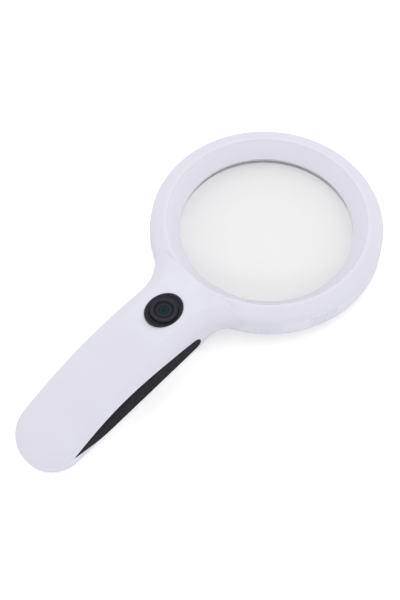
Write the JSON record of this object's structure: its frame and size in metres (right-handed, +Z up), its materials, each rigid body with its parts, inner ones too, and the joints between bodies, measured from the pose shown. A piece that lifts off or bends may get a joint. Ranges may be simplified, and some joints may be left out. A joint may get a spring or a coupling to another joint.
{
  "type": "low vision magnifier",
  "caption": "Hand-held illuminated magnifier with a round lens head, arched battery handle, push button and soft side grips, lying face up.",
  "frame": {"origin": "centre of the bounding box on the plane the magnifier lies on, at its lowest level", "axes": "+Z up from the surface it lies on, face up; the handle points along -Y and the lens head lies towards +Y; +X to the right seen from above with the head away. The lens axis leans 4.53 degrees from +Z towards +Y, because the magnifier rests on the far edge of the head and the end of the handle."},
  "size_m": [0.118, 0.2282, 0.0281],
  "materials": {
    "shell_white": "smooth satin moulded ABS",
    "grip_rubber": "matt textured soft-touch",
    "lens_clear": "polished clear acrylic",
    "gasket_grey": "matt",
    "diffuser_frosted": "frosted translucent",
    "board_green": "solder mask",
    "led_yellowish": "phosphor dome",
    "button_black": "satin",
    "symbol_teal": "satin insert",
    "plunger_white": "moulded nylon",
    "spring_steel": "drawn wire",
    "switch_black": "moulded",
    "component_black": "epoxy body",
    "screw_zinc": "zinc plated",
    "tray_white": "moulded ABS",
    "battery_jacket": "plain printed sleeve with no mark",
    "contact_nickel": "nickel plated",
    "lead_red": "PVC insulation",
    "lead_black": "PVC insulation"
  },
  "bodies": {
    "casing": {"front_shell": "shell_white", "rear_shell": "shell_white", "side_grip_right": "grip_rubber", "side_grip_left": "grip_rubber", "magnifying_lens": "lens_clear", "lens_gasket": "gasket_grey", "led_diffuser_ring": "diffuser_frosted", "led_ring_board": "board_green", "led_lamps": "led_yellowish", "button_bezel": "button_black", "button_return_spring": "spring_steel", "push_switch_housing": "switch_black", "control_board": "board_green", "current_limit_resistors": "component_black", "led_driver_chip": "component_black", "board_screws": "screw_zinc", "casing_screws": "screw_zinc", "battery_tray": "tray_white", "battery_right": "battery_jacket", "battery_middle": "battery_jacket", "battery_left": "battery_jacket", "bridge_contact_plates": "contact_nickel", "positive_contact_plate": "contact_nickel", "negative_contact_plate": "contact_nickel", "battery_contact_springs": "spring_steel", "battery_lead_positive": "lead_red", "battery_lead_negative": "lead_black", "lamp_lead_positive": "lead_red", "lamp_lead_negative": "lead_black"},
    "push_button": {"power_button": "button_black", "power_symbol_insert": "symbol_teal", "switch_plunger": "plunger_white"},
    "battery_door": {"battery_cover": "shell_white"}
  },
  "joints": [
    {"name": "button_press", "type": "slide", "parent": "casing", "child": "push_button", "axis": [0, -0.079, -0.9969], "range_m": [0, 0.0012], "stiffness_N_per_m": 600, "springref_m": -0.0008, "deforming": ["button_return_spring"]},
    {"name": "cover_swing", "type": "hinge", "parent": "casing", "child": "battery_door", "pos_m": [0, -0.09027, 0.00153], "axis": [-1, 0, 0], "range_deg": [0, 75]}
  ]
}
